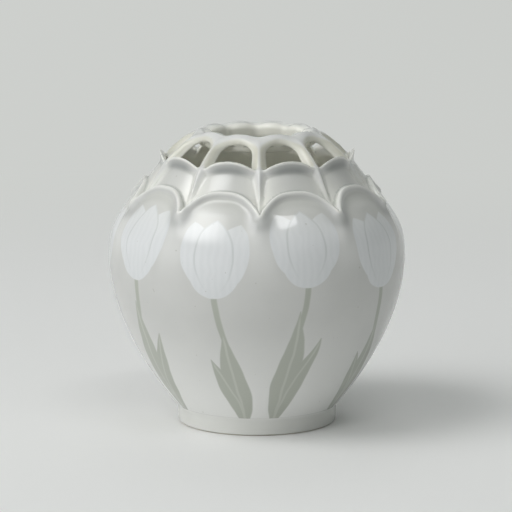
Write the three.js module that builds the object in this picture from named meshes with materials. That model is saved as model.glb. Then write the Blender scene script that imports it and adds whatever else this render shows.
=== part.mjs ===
// Pierced porcelain vase: a round belly that ends in ten lipped petals, ten flared scales behind their lips,
// ten keeled ribs and a lobed mouth collar, with an arched window between each two ribs.
// Millimetres, +Z up. The origin is the centre of the resting face, and rib_01 faces -Y.

import * as THREE from 'three';

// The whole vase
const petalCount = 10;
const vaseHeight = 150;
const bellyRadius = 75.3;
const bellyHeight = 86;
const seamGap = 0.3;

// Foot ring and floor
const footRadius = 40.3;
const footHeight = 9;
const footRingWidth = 5.4;
const footTaper = 1.2;
const footEdge = 0.8;
const floorThickness = 4.4;

// Belly wall
const rootRadius = 41;
const wallThickness = 4;
const wallSeatWidth = 4.3;
const bellyRoundness = 1.87;
const shoulderRadius = 73.5;
const shoulderHeight = 100;

// Petals: a notch between two petals is a cusp, and the lip arches from cusp to cusp
const cuspRadius = 64.6;
const cuspHeight = 115.6;
const lipRadius = 55.8;
const lipHeight = 125.8;
const lipFullness = 2.6;
const lipShoulder = 0.8;
const beadHeight = 1.4;
const beadSetback = 0.9;
const beadSpread = 2.3;
const hollowDepth = 1.1;
const hollowSetback = 5;
const hollowNearSpread = 2.8;
const hollowFarSpread = 10;

// Crown: the line that the rib crests follow above the lips
const crownWall = 3.4;
const crownRadius = 45;
const crownHeight = 138.4;
const archRadius = 36;
const archHeight = 146.2;
const collarRadius = 28.4;

// Scales: how far each flares beyond the crown line in its middle, and sinks beside the ribs
const scaleFlare = 4.5;
const scaleRootSink = 0.6;
const scaleSideSink = 2;
const scaleLipRise = 0.4;
const scaleRootThickness = 2.5;
const scaleLipThickness = 2.4;
const scaleTopRadius = 46.2;
const scaleSideRadius = 48.2;
const flareStraightShare = 0.3;
const curlReach = 5.8;
const curlBackShare = 0.72;

// Ribs
const ribTipRise = 1.8;
const ribCrest = 0.9;
const ribTopCrest = 0.2;
const ribShoulderSink = 1.7;
const ribTopSink = 0.3;
const keelRise = 8;
const keelRun = 16;
const keelSink = 2.6;
const keelBluntness = 0.6;

// Seams between a rib and its neighbours, as shares of the half angle of a petal
const cornerShare = 0.9;
const flankLipShare = 0.865;
const flankLipInnerShare = 0.74;
const windowShare = 0.865;
const windowInnerShare = 0.69;
const springerShare = 0.83;

// Windows and mouth collar
const windowTopRadius = 33;
const windowArchRise = 8.6;
const collarCrestRadius = 26.4;
const collarDepth = 4;
const collarThickness = 6.2;
const collarGroove = 1.5;
const rimDip = 1.2;

// Facets
const archColumnShares = [-cornerShare, -0.74, -0.5, -0.25, 0, 0.25, 0.5, 0.74, cornerShare];
const petalColumnShares = [-1, ...archColumnShares];
const lowerRowShares = [0, 0.06, 0.14, 0.24, 0.36, 0.5, 0.64, 0.77, 0.89, 1];
const upperRowShares = [0.3, 0.52, 0.68, 0.79, 0.87, 0.93, 0.97, 1];
const innerRowShares = [1, 0.9, 0.76, 0.6, 0.44, 0.28, 0.13];
const scaleColumnShares = archColumnShares.map((share) => share / cornerShare);
const scaleRowShares = [0, 0.3, 0.56, 0.7, 0.82, 0.92, 1];
const ribAcrossShares = [-1, -0.45, 0, 0.45, 1];
const collarColumnShares = [-1, -springerShare, -0.66, -0.36, 0, 0.36, 0.66, springerShare];
const collarRowShares = [0, 0.25, 0.5, 0.75, 1];
const collarTurnSteps = 6;
const ribSteps = 12;
const lathedSides = 48;

const sector = (2 * Math.PI) / petalCount;
const halfSector = sector / 2;
const mix = THREE.MathUtils.lerp;
const wallBase = footHeight + seamGap;

// Outline of the vase

/** Radius of the lower belly at a height, from the foot up to the widest place. */
function lowerRadius(height) {
  const below = (bellyHeight - height) / (bellyHeight - wallBase);
  return bellyRadius - (bellyRadius - rootRadius) * below ** bellyRoundness;
}

/** The outline from the foot to the collar: x is a radius and y a height. */
function makeOutline() {
  const lower = lowerRowShares.map((share) => {
    const height = mix(wallBase, bellyHeight, share);
    return new THREE.Vector2(lowerRadius(height), height);
  });
  const upper = [
    new THREE.Vector2(shoulderRadius, shoulderHeight),
    new THREE.Vector2(cuspRadius, cuspHeight),
    new THREE.Vector2(lipRadius, lipHeight),
    new THREE.Vector2(crownRadius, crownHeight),
    new THREE.Vector2(archRadius, archHeight),
    new THREE.Vector2(collarRadius, vaseHeight),
  ];
  return new THREE.SplineCurve([...lower, ...upper]);
}

const outline = makeOutline();
const outlineLength = outline.getLength();

/** Length along the outline, from the foot, at which a test of the point there first fails. */
function lengthWhere(test) {
  let low = 0;
  let high = outlineLength;
  while (high - low > outlineLength * 1e-6) {
    const middle = (low + high) / 2;
    if (test(outline.getPointAt(middle / outlineLength))) low = middle;
    else high = middle;
  }
  return low;
}

const lengthAtHeight = (height) => lengthWhere((point) => point.y < height);
const lengthAtRadius = (radius) => lengthWhere((point) => point.y < bellyHeight || point.x > radius);

/** Point of the half plane at a length along the outline and a distance out from it. */
function offOutline(length, out) {
  const share = Math.min(length / outlineLength, 1);
  const point = outline.getPointAt(share);
  const along = outline.getTangentAt(share);
  return new THREE.Vector2(point.x + out * along.y, point.y - out * along.x);
}

/** The point of a half plane, turned about the axis. Angle 0 faces -Y. */
function turned(angle, flat) {
  return new THREE.Vector3(flat.x * Math.sin(angle), -flat.x * Math.cos(angle), flat.y);
}

const onSurface = (angle, length, out) => turned(angle, offOutline(length, out));

// Closed meshes

/** A closed geometry with its faces pointing out, from points and triangles. */
function closedGeometry(points, triangles) {
  const volume = triangles.reduce((sum, [a, b, c]) => {
    const across = new THREE.Vector3().crossVectors(points[b], points[c]);
    return sum + points[a].dot(across);
  }, 0);
  const facing = volume < 0 ? triangles.map(([a, b, c]) => [a, c, b]) : triangles;
  const geometry = new THREE.BufferGeometry().setFromPoints(points);
  geometry.setIndex(facing.flat());
  geometry.computeVertexNormals();
  return geometry;
}

/** Quads, as triangle pairs, between each two neighbouring rings of equal length. */
function ringTriangles(ringCount, ringSize, closed) {
  const triangles = [];
  const spans = closed ? ringCount : ringCount - 1;
  for (let i = 0; i < spans; i += 1) {
    const next = (i + 1) % ringCount;
    for (let j = 0; j < ringSize; j += 1) {
      const k = (j + 1) % ringSize;
      const [a, b] = [i * ringSize + j, i * ringSize + k];
      const [c, d] = [next * ringSize + k, next * ringSize + j];
      triangles.push([a, b, c], [a, c, d]);
    }
  }
  return triangles;
}

/** A ring-shaped body through closed sections. */
function closedLoft(sections) {
  return closedGeometry(sections.flat(), ringTriangles(sections.length, sections[0].length, true));
}

/** A body through sections of an outer and an inner rail, capped at its two ends. */
function cappedLoft(sections) {
  const rings = sections.map(({ outer, inner }) => [...outer, ...inner.slice().reverse()]);
  const size = rings[0].length;
  const triangles = ringTriangles(rings.length, size, false);
  for (let j = 0; j < size / 2 - 1; j += 1) {
    const [a, b, c, d] = [j, j + 1, size - 2 - j, size - 1 - j];
    triangles.push([a, c, b], [a, d, c]);
    const last = (rings.length - 1) * size;
    triangles.push([last + a, last + b, last + c], [last + a, last + c, last + d]);
  }
  return closedGeometry(rings.flat(), triangles);
}

/** A turned body from a profile of radii and heights. */
function turnedBody(profile) {
  const points = profile.map(([radius, height]) => new THREE.Vector2(radius, height));
  return new THREE.LatheGeometry(points, lathedSides).rotateX(Math.PI / 2);
}

// Petal lips

const cuspLength = lengthAtHeight(cuspHeight);
const lipRise = lengthAtHeight(lipHeight) - cuspLength;
const hoopLength = lengthAtHeight((bellyHeight + shoulderHeight) / 2);

/** Length along the outline at which the lip lies, at a share of the half angle of a petal. */
function lipLength(share) {
  const fall = Math.min(Math.abs(share), 1) ** lipFullness;
  return cuspLength + lipRise * (1 - fall) ** lipShoulder;
}

/** Share of the half angle of a petal at which the lip passes a length along the outline. */
function lipShare(length) {
  const rise = THREE.MathUtils.clamp((length - cuspLength) / lipRise, 0, 1);
  return (1 - rise ** (1 / lipShoulder)) ** (1 / lipFullness);
}

/** How far the petal face stands out: a raised bead at its lip and a shallow hollow below that. */
function petalRelief(share, belowLip) {
  const bell = (centre, spread) => Math.exp(-(((belowLip - centre) / spread) ** 2));
  const cupped = 1 - Math.abs(share) ** 6;
  const spread = belowLip < hollowSetback ? hollowNearSpread : hollowFarSpread;
  return beadHeight * bell(beadSetback, beadSpread) - hollowDepth * cupped * bell(hollowSetback, spread);
}

// Belly wall

function bellySection(share, angle) {
  const top = lipLength(share);
  const lower = lowerRowShares.map((row) => onSurface(angle, row * hoopLength, 0));
  const upper = upperRowShares.map((row) => {
    const length = mix(hoopLength, top, row);
    return onSurface(angle, length, petalRelief(share, top - length));
  });
  const inner = innerRowShares.map((row) => {
    const thickness = mix(wallThickness, crownWall, row);
    return onSurface(angle, row * top, -thickness);
  });
  const seat = turned(angle, new THREE.Vector2(rootRadius - wallSeatWidth, wallBase));
  return [...lower, ...upper, ...inner, seat];
}

function bellyWall() {
  const sections = [];
  for (let petal = 0; petal < petalCount; petal += 1) {
    for (const share of petalColumnShares) {
      sections.push(bellySection(share, (petal + 0.5) * sector + share * halfSector));
    }
  }
  return closedLoft(sections);
}

// Foot ring and floor disc

function footRing() {
  const innerRadius = footRadius - footRingWidth;
  return turnedBody([
    [footRadius - footEdge, 0],
    [footRadius, footEdge],
    [footRadius, footHeight - footEdge / 2],
    [footRadius - footEdge / 2, footHeight],
    [innerRadius, footHeight],
    [innerRadius, footHeight / 2],
    [innerRadius + footTaper, footEdge / 2],
    [innerRadius + footTaper + footEdge / 2, 0],
    [footRadius - footEdge, 0],
  ]);
}

/** The floor fills the narrow end of the wall, and its edge follows the wall's inner face. */
function floorDisc() {
  const underRadius = rootRadius - wallSeatWidth - seamGap;
  const first = offOutline(innerRowShares.at(-1) * cuspLength, -wallThickness);
  const wallSlope = (first.x - (rootRadius - wallSeatWidth)) / (first.y - wallBase);
  const edgeHeight = floorThickness - footEdge;
  return turnedBody([
    [0, wallBase],
    [underRadius, wallBase],
    [underRadius + wallSlope * edgeHeight, wallBase + edgeHeight],
    [underRadius + wallSlope * edgeHeight - footEdge, wallBase + floorThickness],
    [0, wallBase + floorThickness],
  ]);
}

// Seams beside the ribs

const cornerLength = lipLength(cornerShare);
const scaleTopLength = lengthAtRadius(scaleTopRadius);
const scaleSideLength = lengthAtRadius(scaleSideRadius);
const windowTopLength = lengthAtRadius(windowTopRadius);
const springerFall = Math.sqrt(1 - (springerShare / windowShare) ** 2);
const springerLength = windowTopLength - windowArchRise * (1 - springerFall);

/** Share at which a rib meets a scale, at a share of the scale's side and a depth in the wall. */
function scaleSeam(sideShare, out) {
  const depth = THREE.MathUtils.clamp(-out / crownWall, 0, 1);
  return mix(cornerShare, mix(flankLipShare, flankLipInnerShare, depth), sideShare);
}

/** Share at which the flank of a rib lies, at a length along the outline. */
function ribSeam(length, out) {
  if (length < cornerLength) return lipShare(length);
  if (length < scaleSideLength) {
    return scaleSeam((length - cornerLength) / (scaleSideLength - cornerLength), out);
  }
  const depth = -out / crownWall;
  const above = (length - scaleSideLength) / (springerLength - scaleSideLength);
  const innerSpringerShare = springerShare * (windowInnerShare / windowShare);
  return mix(scaleSeam(1, out), mix(springerShare, innerSpringerShare, depth), above);
}

// Scales

/** How far a scale's face lies beyond the crown line, with a share of the curl that its lip has. */
function scaleOut(across, up, belowTop, curlShare) {
  const curl = Math.max(1 - belowTop / curlReach, 0) ** 2;
  const flare = flareStraightShare * up + (1 - flareStraightShare) * curlShare * curl;
  const sink = mix(scaleRootSink, scaleSideSink, across ** 2);
  const lip = mix(scaleFlare, scaleLipRise, across ** 2);
  return (lip + sink) * flare - sink;
}

function scaleSection(centre, across) {
  const root = lipLength(cornerShare * across) + seamGap;
  const top = mix(scaleTopLength, scaleSideLength, across ** 2);
  const point = (up, thickness, curlShare) => {
    const length = mix(root, top, up);
    const out = scaleOut(across, up, top - length, curlShare) - thickness;
    const flat = offOutline(length, out);
    const clear = seamGap / 2 / (flat.x * halfSector);
    const angle = centre + across * (scaleSeam(up, out) - clear) * halfSector;
    return turned(angle, flat);
  };
  const thickness = (up) => mix(scaleRootThickness, scaleLipThickness, up);
  return {
    outer: scaleRowShares.map((up) => point(up, 0, 1)),
    inner: scaleRowShares.map((up) => point(up, thickness(up), curlBackShare)),
  };
}

function scale(index) {
  const centre = (index + 0.5) * sector;
  return cappedLoft(scaleColumnShares.map((across) => scaleSection(centre, across)));
}

// Ribs

function ribSection(middle, along) {
  const length = mix(cuspLength + ribTipRise, springerLength - seamGap, along);
  const sink = mix(ribShoulderSink, ribTopSink, along ** 2);
  const emerged = THREE.MathUtils.clamp((length - cuspLength - keelRise) / keelRun, 0, 1);
  const crest = mix(ribCrest, ribTopCrest, along) - keelSink * (1 - emerged ** keelBluntness);
  const flank = (across, out) => {
    const flat = offOutline(length, out);
    const clear = seamGap / 2 / (flat.x * halfSector);
    const halfWidth = Math.max(1 - ribSeam(length, out) - clear, clear);
    return turned(middle + across * halfWidth * halfSector, flat);
  };
  const crestOut = (across) => mix(crest, -sink, Math.abs(across));
  return {
    outer: ribAcrossShares.map((across) => flank(across, crestOut(across))),
    inner: ribAcrossShares.map((across) => flank(across, -crownWall)),
  };
}

function rib(index) {
  const sections = [];
  for (let step = 0; step <= ribSteps; step += 1) sections.push(ribSection(index * sector, step / ribSteps));
  return cappedLoft(sections);
}

// Mouth collar

/** Length along the outline of the collar's lower edge: an arch over a window, or the end of a springer. */
function collarEdge(share) {
  if (Math.abs(share) > springerShare) return springerLength;
  const fall = Math.sqrt(1 - (share / windowShare) ** 2);
  return windowTopLength - windowArchRise * (1 - fall);
}

/** A section of the collar: over the top, round the lobe inside the mouth, and back below. */
function collarSection(centre, share) {
  const edge = collarEdge(share);
  const groove = Math.abs(share) ** 4;
  const splay = Math.abs(share) > springerShare ? 1 : windowInnerShare / windowShare;
  const angle = centre + share * halfSector;
  const splayed = centre + share * splay * halfSector;
  const over = collarRowShares.map((row) => {
    return onSurface(angle, mix(edge, outlineLength, row), -rimDip * groove * row);
  });
  const reach = collarDepth - collarGroove * groove;
  const halfHeight = (collarThickness - rimDip * groove) / 2;
  const middleHeight = vaseHeight - rimDip * groove - halfHeight;
  const inside = [];
  for (let step = 1; step < collarTurnSteps; step += 1) {
    const turn = (Math.PI * step) / collarTurnSteps;
    const radius = collarCrestRadius - reach * Math.sin(turn);
    inside.push(turned(angle, new THREE.Vector2(radius, middleHeight + halfHeight * Math.cos(turn))));
  }
  const bottom = new THREE.Vector2(collarRadius, vaseHeight - collarThickness);
  const under = collarRowShares.map((row) => {
    const flat = bottom.clone().lerp(offOutline(edge, -crownWall), row);
    return turned(mix(angle, splayed, row), flat);
  });
  return [...over, ...inside, ...under];
}

function mouthCollar() {
  const sections = [];
  for (let petal = 0; petal < petalCount; petal += 1) {
    for (const share of collarColumnShares) sections.push(collarSection((petal + 0.5) * sector, share));
  }
  return closedLoft(sections);
}

// Assembly

const glaze = () => new THREE.MeshStandardMaterial({ color: 0xdfe2dc, roughness: 0.16, metalness: 0 });
const bareClay = () => new THREE.MeshStandardMaterial({ color: 0xe2ddd0, roughness: 0.6, metalness: 0 });

const vase = new THREE.Group();

function addPiece(name, geometry, material) {
  const mesh = new THREE.Mesh(geometry, material);
  mesh.name = name;
  vase.add(mesh);
}

addPiece('belly_wall', bellyWall(), glaze());
addPiece('floor_disc', floorDisc(), glaze());
addPiece('foot_ring', footRing(), bareClay());
for (let index = 0; index < petalCount; index += 1) {
  const number = String(index + 1).padStart(2, '0');
  addPiece(`scale_${number}`, scale(index), glaze());
  addPiece(`rib_${number}`, rib(index), glaze());
}
addPiece('mouth_collar', mouthCollar(), glaze());

export default vase;
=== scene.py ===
"""Looks of the pierced porcelain vase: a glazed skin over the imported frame, its decor and a studio.

The skin is a distance field in the vase's own coordinates: the share of a petal's half angle, the
length along the outline from the foot, and the depth out from that outline. It is meshed once for
one petal, turned round the axis, and divided into a closed piece for each clay part, so that the
glaze runs over the seams.
"""

import logging
import math
from dataclasses import dataclass, field
from enum import Enum, IntEnum
from itertools import product

import bpy
import numpy as np
from mathutils import Matrix, Vector


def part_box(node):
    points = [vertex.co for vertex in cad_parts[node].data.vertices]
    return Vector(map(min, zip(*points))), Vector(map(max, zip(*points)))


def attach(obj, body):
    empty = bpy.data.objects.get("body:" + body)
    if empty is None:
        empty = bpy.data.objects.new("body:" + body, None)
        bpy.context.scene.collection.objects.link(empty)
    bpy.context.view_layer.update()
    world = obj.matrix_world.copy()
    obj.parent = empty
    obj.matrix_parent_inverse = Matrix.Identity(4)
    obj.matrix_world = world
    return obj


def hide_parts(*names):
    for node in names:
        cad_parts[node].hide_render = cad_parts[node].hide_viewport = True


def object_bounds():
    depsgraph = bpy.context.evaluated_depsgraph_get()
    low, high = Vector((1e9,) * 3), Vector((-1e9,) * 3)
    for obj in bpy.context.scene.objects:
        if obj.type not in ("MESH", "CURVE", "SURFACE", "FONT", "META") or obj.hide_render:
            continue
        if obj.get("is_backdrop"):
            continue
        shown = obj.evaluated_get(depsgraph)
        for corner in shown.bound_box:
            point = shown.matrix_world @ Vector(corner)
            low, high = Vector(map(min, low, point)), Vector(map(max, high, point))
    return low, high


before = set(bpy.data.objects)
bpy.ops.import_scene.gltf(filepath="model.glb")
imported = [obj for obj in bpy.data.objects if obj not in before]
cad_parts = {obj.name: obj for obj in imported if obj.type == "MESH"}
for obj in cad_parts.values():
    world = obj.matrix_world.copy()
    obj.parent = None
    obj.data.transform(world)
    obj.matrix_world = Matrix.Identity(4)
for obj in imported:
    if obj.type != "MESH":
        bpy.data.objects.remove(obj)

LOG = logging.getLogger("vase")
MM = 0.001
TINY = 1e-12
ROOT = "root"
Array = np.ndarray
Pair = tuple[float, float]
Colour = tuple[float, float, float]


def mix(low: Array | float, high: Array | float, share: Array | float) -> Array | float:
    """Return the value at a share of the way from low to high."""
    return low + (high - low) * share


def ease(low: float, high: float, value: Array | float) -> Array:
    """Return 0 below low, 1 above high, and a smooth step between them."""
    share = np.clip((value - low) / (high - low), 0.0, 1.0)
    return share * share * (3.0 - 2.0 * share)


def bell(value: Array, centre: float, spread: float) -> Array:
    """Return a bell curve of height 1 about a centre."""
    return np.exp(-(((value - centre) / spread) ** 2))


def toward_rib(share: Array, sharpness: float) -> Array:
    """Return 0 in the middle of a petal and 1 at its ribs, with a smooth rise between them."""
    return (0.5 - 0.5 * np.cos(math.pi * share)) ** sharpness


def round_max(a: Array, b: Array, radius: Array | float) -> Array:
    """Intersect two distances, with the edge between them rounded.

    Args:
        a: the first distance.
        b: the second distance.
        radius: how far from the edge the rounding starts.

    Returns:
        The distance of what both hold.
    """
    blend = np.clip(0.5 + 0.5 * (a - b) / radius, 0.0, 1.0)
    return mix(b, a, blend) + radius * blend * (1.0 - blend)


def round_min(a: Array, b: Array, radius: Array | float) -> Array:
    """Join two distances, with glaze pooled in the corner between them."""
    return -round_max(-a, -b, radius)


def oval(across: Array, along: Array, half_width: Array, half_height: Array | float) -> Array:
    """Return the distance from an oval about the origin, close to true near its edge.

    Args:
        across: places across the oval.
        along: places along it.
        half_width: half its width.
        half_height: half its height.

    Returns:
        The distances, under 0 inside.
    """
    scaled = np.hypot(across / half_width, along / half_height)
    slope = np.hypot(across / half_width**2, along / half_height**2)
    return scaled * (scaled - 1.0) / np.maximum(slope, 1.0)


class Clay(IntEnum):
    """What a point of the skin belongs to."""

    AIR = 0
    BELLY = 1
    COLLAR = 2
    RIB = 3
    SCALE = 4


class Slot(Enum):
    """The part's material slots."""

    GLAZE = "glaze"
    BARE_CLAY = "bare_clay"


@dataclass(frozen=True)
class Rounds:
    """Radii with which the glaze rounds edges and fills corners."""

    wall: float = 1.0 * MM
    lip: float = 2.0 * MM
    scale_lip: float = 1.0 * MM
    window: float = 0.9 * MM
    arch: float = 2.2 * MM
    crease: float = 0.7 * MM
    rib_root: float = 1.5 * MM
    rim: float = 2.4 * MM
    foot: float = 0.4 * MM


class Outline:
    """The line from the foot to the mouth, as a spline that runs straight on past its ends."""

    STEPS = 64

    def __init__(self, points: list[Pair]) -> None:
        """Sample the spline through points.

        Args:
            points: radii and heights from the foot to the mouth.
        """
        known = np.array([points[0], *points, points[-1]])
        weight = np.linspace(0.0, 1.0, self.STEPS, endpoint=False)[:, None]
        runs = []
        for before, start, end, after in zip(known, known[1:], known[2:], known[3:]):
            leave, arrive = (end - before) / 2, (after - start) / 2
            cubic = 2 * start - 2 * end + leave + arrive
            square = -3 * start + 3 * end - 2 * leave - arrive
            runs.append(cubic * weight**3 + square * weight**2 + leave * weight + start)
        line = np.vstack([*runs, known[-1:]])
        steps = np.linalg.norm(np.diff(line, axis=0), axis=1)
        self.lengths = np.concatenate([[0.0], np.cumsum(steps)])
        self.length = float(self.lengths[-1])
        self.radii, self.heights = line[:, 0], line[:, 1]
        tangents = np.gradient(line, self.lengths, axis=0)
        self.tangents = tangents / np.linalg.norm(tangents, axis=1)[:, None]

    def tangent(self, length: Array) -> tuple[Array, Array]:
        """Return the direction of the line at lengths along it, outwards and up.

        Args:
            length: lengths along the line.

        Returns:
            The outward and the upward parts of a step of length 1.
        """
        outward = np.interp(length, self.lengths, self.tangents[:, 0])
        upward = np.interp(length, self.lengths, self.tangents[:, 1])
        size = np.hypot(outward, upward)
        return outward / size, upward / size

    def place(self, length: Array, depth: Array) -> tuple[Array, Array]:
        """Return the radius and height of points off the line.

        Args:
            length: lengths along the line from the foot.
            depth: distances out from it.

        Returns:
            Radii and heights.
        """
        outward, upward = self.tangent(length)
        past = length - np.clip(length, 0.0, self.length)
        radius = self.radius(length) + past * outward + depth * upward
        height = np.interp(length, self.lengths, self.heights) + past * upward - depth * outward
        return radius, height

    def radius(self, length: Array) -> Array:
        """Return the radius of the line itself."""
        return np.interp(length, self.lengths, self.radii)

    def length_at_height(self, height: float) -> float:
        """Return the length at which the line first reaches a height."""
        return float(np.interp(height, self.heights, self.lengths))

    def length_at_radius(self, radius: float) -> float:
        """Return the length at which the line comes back in to a radius, above the belly."""
        widest = int(np.argmax(self.radii))
        return float(np.interp(-radius, -self.radii[widest:], self.lengths[widest:]))


@dataclass
class Skin:
    """The vase's outer and inner surfaces as one distance field.

    Pairs are places on the outline as radius and height, centres and spreads of a shaded band, or
    the two ends of a smooth step. Those named span run along a rib, from 0 at the notch between two
    petals to 1 where the collar starts.
    """

    height: float
    belly_radius: float
    foot_height: float
    petals: int = 10
    foot_overlap: float = 0.2 * MM
    belly_height: float = 86 * MM
    root_radius: float = 41 * MM
    belly_roundness: float = 1.87
    belly_points: int = 14
    shoulder: Pair = (73.5 * MM, 100 * MM)
    cusp: Pair = (64.6 * MM, 115.6 * MM)
    lip: Pair = (55.8 * MM, 125.8 * MM)
    crown: Pair = (45 * MM, 138.4 * MM)
    arch: Pair = (36 * MM, 146.2 * MM)
    mouth_radius: float = 28.4 * MM

    wall: float = 4 * MM
    crown_wall: float = 3.4 * MM
    lip_fullness: float = 2.6
    lip_shoulder: float = 0.8
    steepest_lip: float = 5.0
    bead_height: float = 1.4 * MM
    bead_setback: float = 0.9 * MM
    bead_spread: float = 2.3 * MM
    hollow_depth: float = 1.1 * MM
    hollow_setback: float = 5 * MM
    hollow_near_spread: float = 2.8 * MM
    hollow_far_spread: float = 10 * MM
    hollow_sharpness: float = 3.0
    ridge_height: float = 1.0 * MM
    ridge_width: float = 4 * MM
    ridge_reach: float = 26 * MM
    ridge_end: Pair = (-6 * MM, 2 * MM)

    scale_flare: float = 4.5 * MM
    scale_root_sink: float = 0.6 * MM
    scale_side_sink: float = 2.2 * MM
    scale_lip_rise: float = 0.6 * MM
    scale_root_thickness: float = 2.5 * MM
    scale_lip_thickness: float = 2.6 * MM
    scale_top_radius: float = 46.2 * MM
    scale_side_radius: float = 48.2 * MM
    scale_tuck: float = 2.5 * MM
    flare_straight_share: float = 0.12
    curl_reach: float = 5.0 * MM
    curl_limit: float = 1.3
    curl_tightness: float = 1.5
    curl_back_share: float = 0.72

    rib_tip_sink: float = 3.1 * MM
    rib_tip_rise: float = 8 * MM
    rib_tip_run: float = 16 * MM
    rib_tip_bluntness: float = 0.6
    rib_crest: float = 0.9 * MM
    rib_top_crest: float = 0.2 * MM
    rib_root_fall: float = 1.15
    rib_top_fall: float = 0.55
    rib_keel: float = 0.35 * MM
    rib_round: float = 0.6 * MM
    rib_tuck: float = 2 * MM
    lobe_groove: float = 1.3 * MM
    crest_span: Pair = (0.55, 1.1)
    fall_span: Pair = (0.2, 0.7)
    flat_span: Pair = (0.9, 1.2)
    groove_span: Pair = (1.0, 1.4)
    arch_span: Pair = (0.9, 1.15)

    corner_share: float = 0.9
    window_share: float = 0.865
    window_inner_share: float = 0.69
    window_top_radius: float = 33 * MM
    window_arch_rise: float = 8.6 * MM
    springer_rise: float = 4.5 * MM
    tube_radius: float = 26.2 * MM
    tube_half_width: float = 3.8 * MM
    tube_half_height: float = 3.1 * MM
    tube_drop: float = 2.6 * MM
    tube_groove: float = 1.5 * MM
    rim_dip: float = 1.5 * MM
    valley_sharpness: float = 1.6

    petal_band: float = 3.2 * MM
    scale_band: float = 1.6 * MM
    petal_shade: float = 0.5
    petal_shade_place: Pair = (6.5 * MM, 3 * MM)
    scale_shade_place: Pair = (3.2 * MM, 2.0 * MM)
    scale_shade_sides: Pair = (0.3, 0.9)
    scale_shade_fade: float = 0.85
    reveal_reach: float = 2.4 * MM
    reveal_start: Pair = (-1 * MM, 3 * MM)
    rounds: Rounds = field(default_factory=Rounds)

    def __post_init__(self) -> None:
        """Lay the outline and the lengths along it that the parts meet at."""
        self.base_height = self.foot_height - self.foot_overlap
        self.half_sector = math.pi / self.petals
        rise = np.linspace(0.0, 1.0, self.belly_points)
        lower = [(self.lower_radius(h), h) for h in mix(self.base_height, self.belly_height, rise)]
        mouth = (self.mouth_radius, self.height)
        upper = [self.shoulder, self.cusp, self.lip, self.crown, self.arch, mouth]
        self.outline = Outline([*lower, *upper])
        self.cusp_length = self.outline.length_at_height(self.cusp[1])
        self.lip_rise = self.outline.length_at_height(self.lip[1]) - self.cusp_length
        self.corner_length = float(self.lip_length(np.array(self.corner_share)))
        self.scale_top_length = self.outline.length_at_radius(self.scale_top_radius)
        self.scale_side_length = self.outline.length_at_radius(self.scale_side_radius)
        self.window_top_length = self.outline.length_at_radius(self.window_top_radius)
        self.springer_length = self.window_top_length - self.springer_rise

    def lower_radius(self, height: float) -> float:
        """Return the radius of the belly below its widest place.

        Args:
            height: a height from the wall's foot to the widest place.

        Returns:
            The radius.
        """
        below = (self.belly_height - height) / (self.belly_height - self.base_height)
        slimming = (self.belly_radius - self.root_radius) * below**self.belly_roundness
        return self.belly_radius - slimming

    def half_width(self, length: Array) -> Array:
        """Return half of a petal's width, measured round the outline."""
        return self.half_sector * self.outline.radius(length)

    def from_rib(self, share: Array, length: Array) -> Array:
        """Return the distance from the nearest rib's middle line, along the wall."""
        return (1.0 - np.abs(share)) * self.half_width(length)

    def inward(self, depth: Array) -> Array:
        """Return 0 on the crown's outer surface and 1 on its inner one."""
        return np.clip(-depth / self.crown_wall, 0.0, 1.0)

    def lip_length(self, share: Array) -> Array:
        """Return the length along the outline at which a petal's lip lies."""
        fall = np.minimum(np.abs(share), 1.0) ** self.lip_fullness
        return self.cusp_length + self.lip_rise * (1.0 - fall) ** self.lip_shoulder

    def past_lip(self, share: Array, length: Array) -> Array:
        """Return the distance beyond a petal's lip, along the wall.

        Args:
            share: shares of a petal's half angle.
            length: lengths along the outline from the foot.

        Returns:
            The distances, over 0 beyond the lip.
        """
        step = 0.004
        inner = np.clip(np.abs(share), 0.0, 1.0 - step)
        run = step * self.half_width(length)
        slope = (self.lip_length(inner) - self.lip_length(inner + step)) / run
        slope = np.minimum(slope, self.steepest_lip)
        return (length - self.lip_length(share)) / np.sqrt(1.0 + slope**2)

    def inside_lip(self, share: Array, length: Array) -> Array:
        """Return the distance from a petal's lip back over the petal, round the notch beside it.

        Args:
            share: shares of a petal's half angle.
            length: lengths along the outline from the foot.

        Returns:
            The distances, over 0 on the petal.
        """
        below = np.maximum(self.cusp_length - length, 0.0)
        level = -self.past_lip(share, np.maximum(length, self.cusp_length))
        return np.where(below > 0.0, np.hypot(level, below), level)

    def belly(self, share: Array, length: Array, depth: Array) -> Array:
        """Return the distance from the belly wall with its ten lipped petals.

        Args:
            share: shares of a petal's half angle.
            length: lengths along the outline from the foot.
            depth: distances out from the outline.

        Returns:
            The distances, under 0 inside.
        """
        inside = self.inside_lip(share, length)
        cupped = 1.0 - toward_rib(share, self.hollow_sharpness)
        relief = self.bead_height * bell(inside, self.bead_setback, self.bead_spread)
        near = inside < self.hollow_setback
        spread = np.where(near, self.hollow_near_spread, self.hollow_far_spread)
        relief -= self.hollow_depth * cupped * bell(inside, self.hollow_setback, spread)
        below = self.cusp_length - length
        reach = ease(-self.ridge_reach, 0.0, -below) * ease(*self.ridge_end, below)
        ridge = bell(self.from_rib(share, length), 0.0, self.ridge_width)
        relief += self.ridge_height * reach * ridge
        thickness = mix(self.wall, self.crown_wall, ease(0.0, self.cusp_length, length))
        shell = round_max(depth - relief, -depth - thickness, self.rounds.wall)
        shell = round_max(shell, -inside, self.rounds.lip)
        return round_max(shell, -length, self.rounds.foot)

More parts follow.
